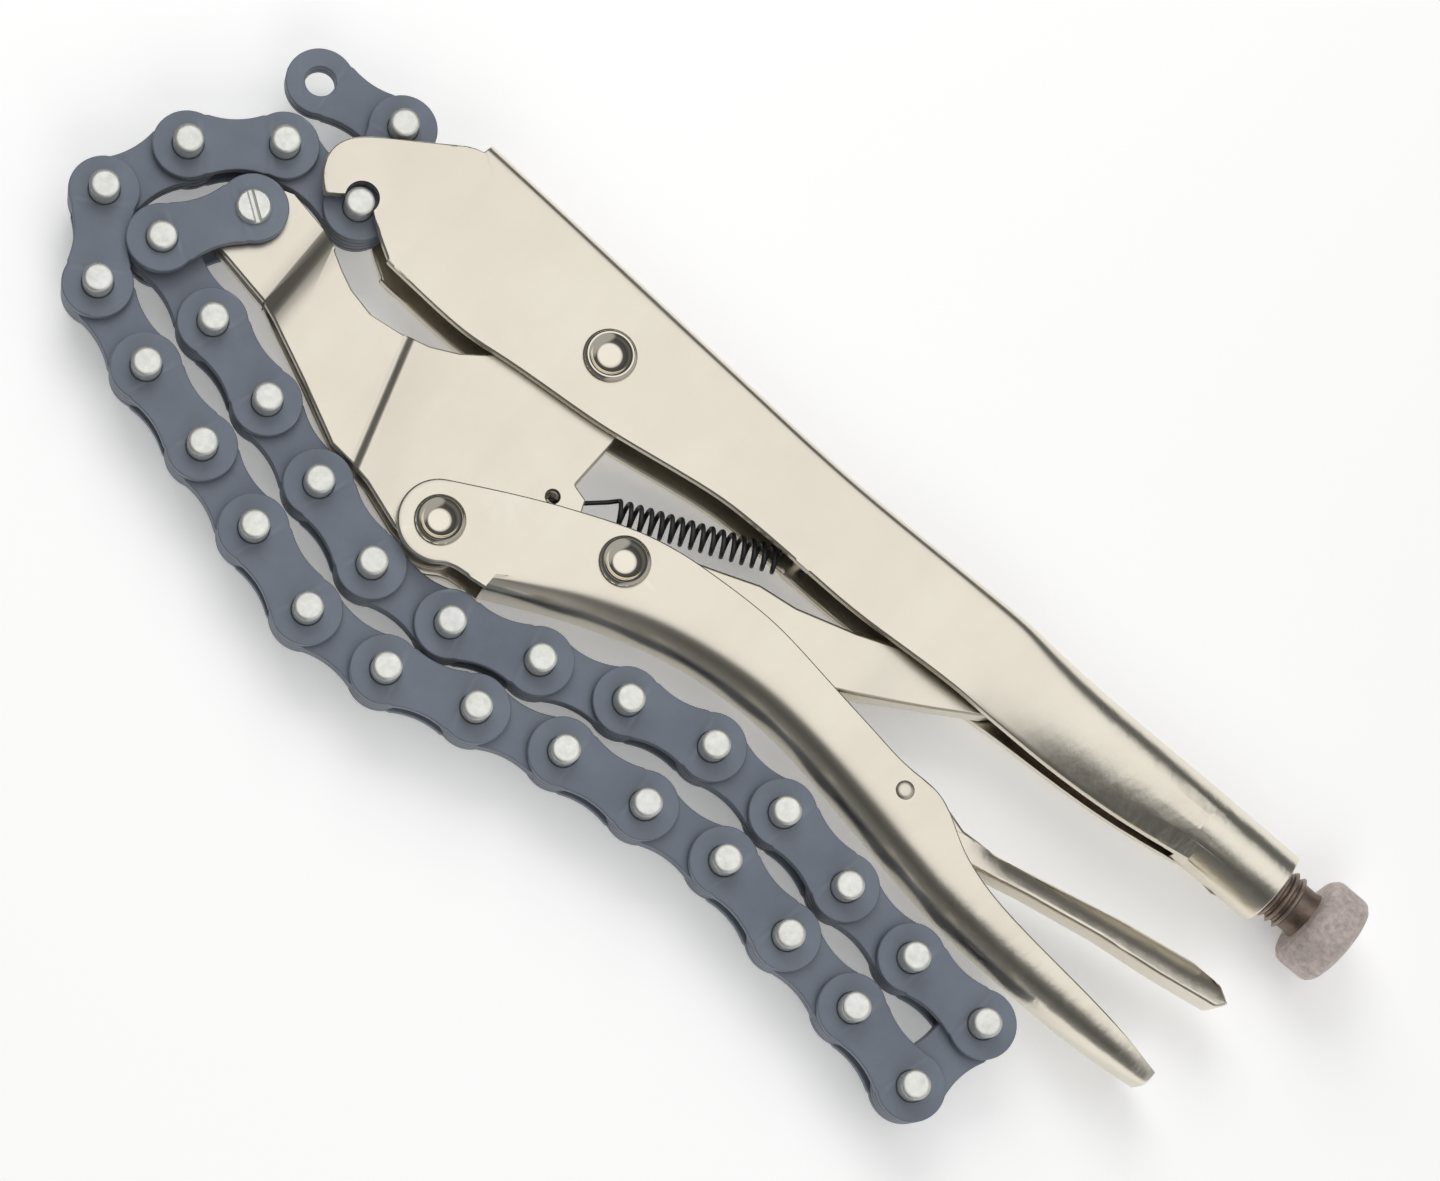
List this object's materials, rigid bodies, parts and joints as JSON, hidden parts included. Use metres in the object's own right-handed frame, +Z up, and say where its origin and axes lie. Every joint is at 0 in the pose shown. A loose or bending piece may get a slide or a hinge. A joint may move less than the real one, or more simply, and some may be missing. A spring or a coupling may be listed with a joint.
{
  "type": "chain wrench",
  "caption": "Locking chain pliers: pressed-steel channel handles with a toggle, release lever and adjusting screw, and a link chain on the jaw's nose caught in a hook.",
  "frame": {"origin": "middle of the bounding box on its underside; the tool lies on its side", "axes": "+X from the jaws to the knob, along the screw; +Y towards the upper handle's back; +Z up, along the pivots"},
  "size_m": [0.2442, 0.0864, 0.0171],
  "materials": {
    "nickel_plate": "satin nickel plate over pressed steel",
    "screw_steel": "rough plated steel",
    "link_steel": "blue-grey oxide",
    "pin_steel": "bright ground ends",
    "spring_wire": "black wire"
  },
  "bodies": {
    "upper_handle": {"upper_handle": "nickel_plate", "jaw_rivet": "nickel_plate", "return_spring": "spring_wire"},
    "lower_jaw": {"lower_jaw": "nickel_plate"},
    "lower_handle": {"lower_handle": "nickel_plate", "handle_rivet": "nickel_plate", "toggle_rivet": "nickel_plate", "lever_rivet": "pin_steel"},
    "toggle_link": {"toggle_link": "nickel_plate"},
    "release_lever": {"release_lever": "nickel_plate"},
    "adjusting_screw": {"adjusting_screw": "screw_steel"},
    "link_01": {"outer_link_plates_01": "link_steel", "link_pins_01": "pin_steel", "nose_screw": "pin_steel"},
    "link_02": {"inner_link_plates_01": "link_steel"},
    "link_03": {"outer_link_plates_02": "link_steel", "link_pins_02": "pin_steel"},
    "link_04": {"inner_link_plates_02": "link_steel"},
    "link_05": {"outer_link_plates_03": "link_steel", "link_pins_03": "pin_steel"},
    "link_06": {"inner_link_plates_03": "link_steel"},
    "link_07": {"outer_link_plates_04": "link_steel", "link_pins_04": "pin_steel"},
    "link_08": {"inner_link_plates_04": "link_steel"},
    "link_09": {"outer_link_plates_05": "link_steel", "link_pins_05": "pin_steel"},
    "link_10": {"inner_link_plates_05": "link_steel"},
    "link_11": {"outer_link_plates_06": "link_steel", "link_pins_06": "pin_steel"},
    "link_12": {"inner_link_plates_06": "link_steel"},
    "link_13": {"outer_link_plates_07": "link_steel", "link_pins_07": "pin_steel"},
    "link_14": {"inner_link_plates_07": "link_steel"},
    "link_15": {"outer_link_plates_08": "link_steel", "link_pins_08": "pin_steel"},
    "link_16": {"inner_link_plates_08": "link_steel"},
    "link_17": {"outer_link_plates_09": "link_steel", "link_pins_09": "pin_steel"},
    "link_18": {"inner_link_plates_09": "link_steel"},
    "link_19": {"outer_link_plates_10": "link_steel", "link_pins_10": "pin_steel"},
    "link_20": {"inner_link_plates_10": "link_steel"},
    "link_21": {"outer_link_plates_11": "link_steel", "link_pins_11": "pin_steel"},
    "link_22": {"inner_link_plates_11": "link_steel"},
    "link_23": {"outer_link_plates_12": "link_steel", "link_pins_12": "pin_steel"},
    "link_24": {"inner_link_plates_12": "link_steel"},
    "link_25": {"outer_link_plates_13": "link_steel", "link_pins_13": "pin_steel"},
    "link_26": {"inner_link_plates_13": "link_steel"},
    "link_27": {"outer_link_plates_14": "link_steel", "link_pins_14": "pin_steel"},
    "link_28": {"inner_link_plates_14": "link_steel"},
    "link_29": {"outer_link_plates_15": "link_steel", "link_pins_15": "pin_steel"},
    "link_30": {"inner_link_plates_15": "link_steel"},
    "link_31": {"outer_link_plates_16": "link_steel", "link_pins_16": "pin_steel"},
    "link_32": {"inner_link_plates_16": "link_steel"}
  },
  "joints": [
    {"name": "handle_open", "type": "hinge", "parent": "lower_jaw", "child": "lower_handle", "pos_m": [-0.03929, -0.01251, 0.00855], "axis": [0, 0, -1], "range_deg": [0, 24]},
    {"name": "jaw_open", "type": "hinge", "parent": "upper_handle", "child": "lower_jaw", "pos_m": [-0.03589, 0.02759, 0.00855], "axis": [0, 0, 1], "range_deg": [0, 5], "deforming": ["return_spring"]},
    {"name": "toggle_swing", "type": "hinge", "parent": "lower_handle", "child": "toggle_link", "pos_m": [-0.01199, 0.00219, 0.00855], "axis": [0, 0, 1], "range_deg": [0, 32]},
    {"name": "lever_press", "type": "hinge", "parent": "lower_handle", "child": "release_lever", "pos_m": [0.04741, 0.00329, 0.00855], "axis": [0, 0, -1], "range_deg": [0, 8]},
    {"name": "screw_out", "type": "slide", "parent": "upper_handle", "child": "adjusting_screw", "axis": [1, 0, 0], "range_m": [0, 0.01]},
    {"name": "chain_joint_01", "type": "hinge", "parent": "lower_jaw", "child": "link_01", "pos_m": [-0.09609, 0.00799, 0.00855], "axis": [0, 0, 1], "range_deg": [-170, 45]},
    {"name": "chain_joint_02", "type": "hinge", "parent": "link_01", "child": "link_02", "pos_m": [-0.10379, -0.00589, 0.00855], "axis": [0, 0, 1], "range_deg": [-246, 44]},
    {"name": "chain_joint_03", "type": "hinge", "parent": "link_02", "child": "link_03", "pos_m": [-0.08869, -0.0108, 0.00855], "axis": [0, 0, 1], "range_deg": [-1.5, 1.5]},
    {"name": "chain_joint_04", "type": "hinge", "parent": "link_03", "child": "link_04", "pos_m": [-0.07343, -0.01518, 0.00855], "axis": [0, 0, 1], "range_deg": [-143, 147]},
    {"name": "chain_joint_05", "type": "hinge", "parent": "link_04", "child": "link_05", "pos_m": [-0.05833, -0.02008, 0.00855], "axis": [0, 0, 1], "range_deg": [-146, 144]},
    {"name": "chain_joint_06", "type": "hinge", "parent": "link_05", "child": "link_06", "pos_m": [-0.04315, -0.02472, 0.00855], "axis": [0, 0, 1], "range_deg": [-165, 125]},
    {"name": "chain_joint_07", "type": "hinge", "parent": "link_06", "child": "link_07", "pos_m": [-0.0273, -0.02389, 0.00855], "axis": [0, 0, 1], "range_deg": [-160, 130]},
    {"name": "chain_joint_08", "type": "hinge", "parent": "link_07", "child": "link_08", "pos_m": [-0.0122, -0.01899, 0.00855], "axis": [0, 0, 1], "range_deg": [-143, 147]},
    {"name": "chain_joint_09", "type": "hinge", "parent": "link_08", "child": "link_09", "pos_m": [0.00306, -0.01461, 0.00855], "axis": [0, 0, 1], "range_deg": [-141, 149]},
    {"name": "chain_joint_10", "type": "hinge", "parent": "link_09", "child": "link_10", "pos_m": [0.01859, -0.01131, 0.00855], "axis": [0, 0, 1], "range_deg": [-1.5, 1.5]},
    {"name": "chain_joint_11", "type": "hinge", "parent": "link_10", "child": "link_11", "pos_m": [0.03444, -0.01214, 0.00855], "axis": [0, 0, 1], "range_deg": [-138, 152]},
    {"name": "chain_joint_12", "type": "hinge", "parent": "link_11", "child": "link_12", "pos_m": [0.05008, -0.0149, 0.00855], "axis": [0, 0, 1], "range_deg": [-148, 142]},
    {"name": "chain_joint_13", "type": "hinge", "parent": "link_12", "child": "link_13", "pos_m": [0.06583, -0.01683, 0.00855], "axis": [0, 0, 1], "range_deg": [-149, 141]},
    {"name": "chain_joint_14", "type": "hinge", "parent": "link_13", "child": "link_14", "pos_m": [0.08169, -0.01766, 0.00855], "axis": [0, 0, 1], "range_deg": [-47, 243]},
    {"name": "chain_joint_15", "type": "hinge", "parent": "link_14", "child": "link_15", "pos_m": [0.07866, -0.03325, 0.00855], "axis": [0, 0, 1], "range_deg": [-53, 237]},
    {"name": "chain_joint_16", "type": "hinge", "parent": "link_15", "child": "link_16", "pos_m": [0.06319, -0.02967, 0.00855], "axis": [0, 0, 1], "range_deg": [-1.5, 1.5]},
    {"name": "chain_joint_17", "type": "hinge", "parent": "link_16", "child": "link_17", "pos_m": [0.04747, -0.02747, 0.00855], "axis": [0, 0, 1], "range_deg": [-143, 147]},
    {"name": "chain_joint_18", "type": "hinge", "parent": "link_17", "child": "link_18", "pos_m": [0.03184, -0.02471, 0.00855], "axis": [0, 0, 1], "range_deg": [-160, 130]},
    {"name": "chain_joint_19", "type": "hinge", "parent": "link_18", "child": "link_19", "pos_m": [0.01602, -0.02609, 0.00855], "axis": [0, 0, 1], "range_deg": [-147, 143]},
    {"name": "chain_joint_20", "type": "hinge", "parent": "link_19", "child": "link_20", "pos_m": [0.00026, -0.02803, 0.00855], "axis": [0, 0, 1], "range_deg": [-1.5, 1.5]},
    {"name": "chain_joint_21", "type": "hinge", "parent": "link_20", "child": "link_21", "pos_m": [-0.01514, -0.03187, 0.00855], "axis": [0, 0, 1], "range_deg": [-148, 142]},
    {"name": "chain_joint_22", "type": "hinge", "parent": "link_21", "child": "link_22", "pos_m": [-0.03032, -0.03651, 0.00855], "axis": [0, 0, 1], "range_deg": [-131, 159]},
    {"name": "chain_joint_23", "type": "hinge", "parent": "link_22", "child": "link_23", "pos_m": [-0.04617, -0.03734, 0.00855], "axis": [0, 0, 1], "range_deg": [-125, 165]},
    {"name": "chain_joint_24", "type": "hinge", "parent": "link_23", "child": "link_24", "pos_m": [-0.06136, -0.0327, 0.00855], "axis": [0, 0, 1], "range_deg": [-144, 146]},
    {"name": "chain_joint_25", "type": "hinge", "parent": "link_24", "child": "link_25", "pos_m": [-0.07645, -0.02779, 0.00855], "axis": [0, 0, 1], "range_deg": [-148, 142]},
    {"name": "chain_joint_26", "type": "hinge", "parent": "link_25", "child": "link_26", "pos_m": [-0.09179, -0.02368, 0.00855], "axis": [0, 0, 1], "range_deg": [-140, 150]},
    {"name": "chain_joint_27", "type": "hinge", "parent": "link_26", "child": "link_27", "pos_m": [-0.1067, -0.01826, 0.00855], "axis": [0, 0, 1], "range_deg": [-1.5, 1.5]},
    {"name": "chain_joint_28", "type": "hinge", "parent": "link_27", "child": "link_28", "pos_m": [-0.11626, -0.00558, 0.00855], "axis": [0, 0, 1], "range_deg": [-90, 200]},
    {"name": "chain_joint_29", "type": "hinge", "parent": "link_28", "child": "link_29", "pos_m": [-0.11135, 0.00952, 0.00855], "axis": [0, 0, 1], "range_deg": [-115, 175]},
    {"name": "chain_joint_30", "type": "hinge", "parent": "link_29", "child": "link_30", "pos_m": [-0.09956, 0.02014, 0.00855], "axis": [0, 0, 1], "range_deg": [-103, 187]},
    {"name": "chain_joint_31", "type": "hinge", "parent": "link_30", "child": "link_31", "pos_m": [-0.08368, 0.02014, 0.00855], "axis": [0, 0, 1], "range_deg": [-247, 43]},
    {"name": "chain_joint_32", "type": "hinge", "parent": "link_31", "child": "link_32", "pos_m": [-0.08698, 0.03567, 0.00855], "axis": [0, 0, 1], "range_deg": [-232, 58]}
  ],
  "couplings": [
    {"joint": "jaw_open", "follows": "handle_open", "ratio": 0.137},
    {"joint": "toggle_swing", "follows": "handle_open", "ratio": 1.268},
    {"joint": "chain_joint_01", "follows": "handle_open", "ratio": -0.05},
    {"joint": "chain_joint_02", "follows": "handle_open", "ratio": 0.05},
    {"joint": "chain_joint_05", "follows": "handle_open", "ratio": -0.25},
    {"joint": "chain_joint_06", "follows": "handle_open", "ratio": -0.5},
    {"joint": "chain_joint_07", "follows": "handle_open", "ratio": -0.25},
    {"joint": "chain_joint_14", "follows": "handle_open", "ratio": 0.867},
    {"joint": "chain_joint_15", "follows": "handle_open", "ratio": -0.864},
    {"joint": "chain_joint_22", "follows": "handle_open", "ratio": 0.235},
    {"joint": "chain_joint_23", "follows": "handle_open", "ratio": 0.529},
    {"joint": "chain_joint_24", "follows": "handle_open", "ratio": 0.233},
    {"joint": "chain_joint_31", "follows": "handle_open", "ratio": 1.4},
    {"joint": "chain_joint_32", "follows": "handle_open", "ratio": -1.8},
    {"joint": "chain_joint_04", "follows": "chain_joint_03", "ratio": -1.41},
    {"joint": "chain_joint_08", "follows": "chain_joint_03", "ratio": 1.05},
    {"joint": "chain_joint_09", "follows": "chain_joint_03", "ratio": -0.64},
    {"joint": "chain_joint_11", "follows": "chain_joint_10", "ratio": -1},
    {"joint": "chain_joint_12", "follows": "chain_joint_10", "ratio": -1},
    {"joint": "chain_joint_13", "follows": "chain_joint_10", "ratio": 1},
    {"joint": "chain_joint_17", "follows": "chain_joint_16", "ratio": -1},
    {"joint": "chain_joint_18", "follows": "chain_joint_16", "ratio": -1},
    {"joint": "chain_joint_19", "follows": "chain_joint_16", "ratio": 1},
    {"joint": "chain_joint_21", "follows": "chain_joint_20", "ratio": -1.645},
    {"joint": "chain_joint_25", "follows": "chain_joint_20", "ratio": 2.219},
    {"joint": "chain_joint_26", "follows": "chain_joint_20", "ratio": -1.574},
    {"joint": "chain_joint_28", "follows": "chain_joint_27", "ratio": -2.99},
    {"joint": "chain_joint_29", "follows": "chain_joint_27", "ratio": 3.63},
    {"joint": "chain_joint_30", "follows": "chain_joint_27", "ratio": -1.64}
  ]
}
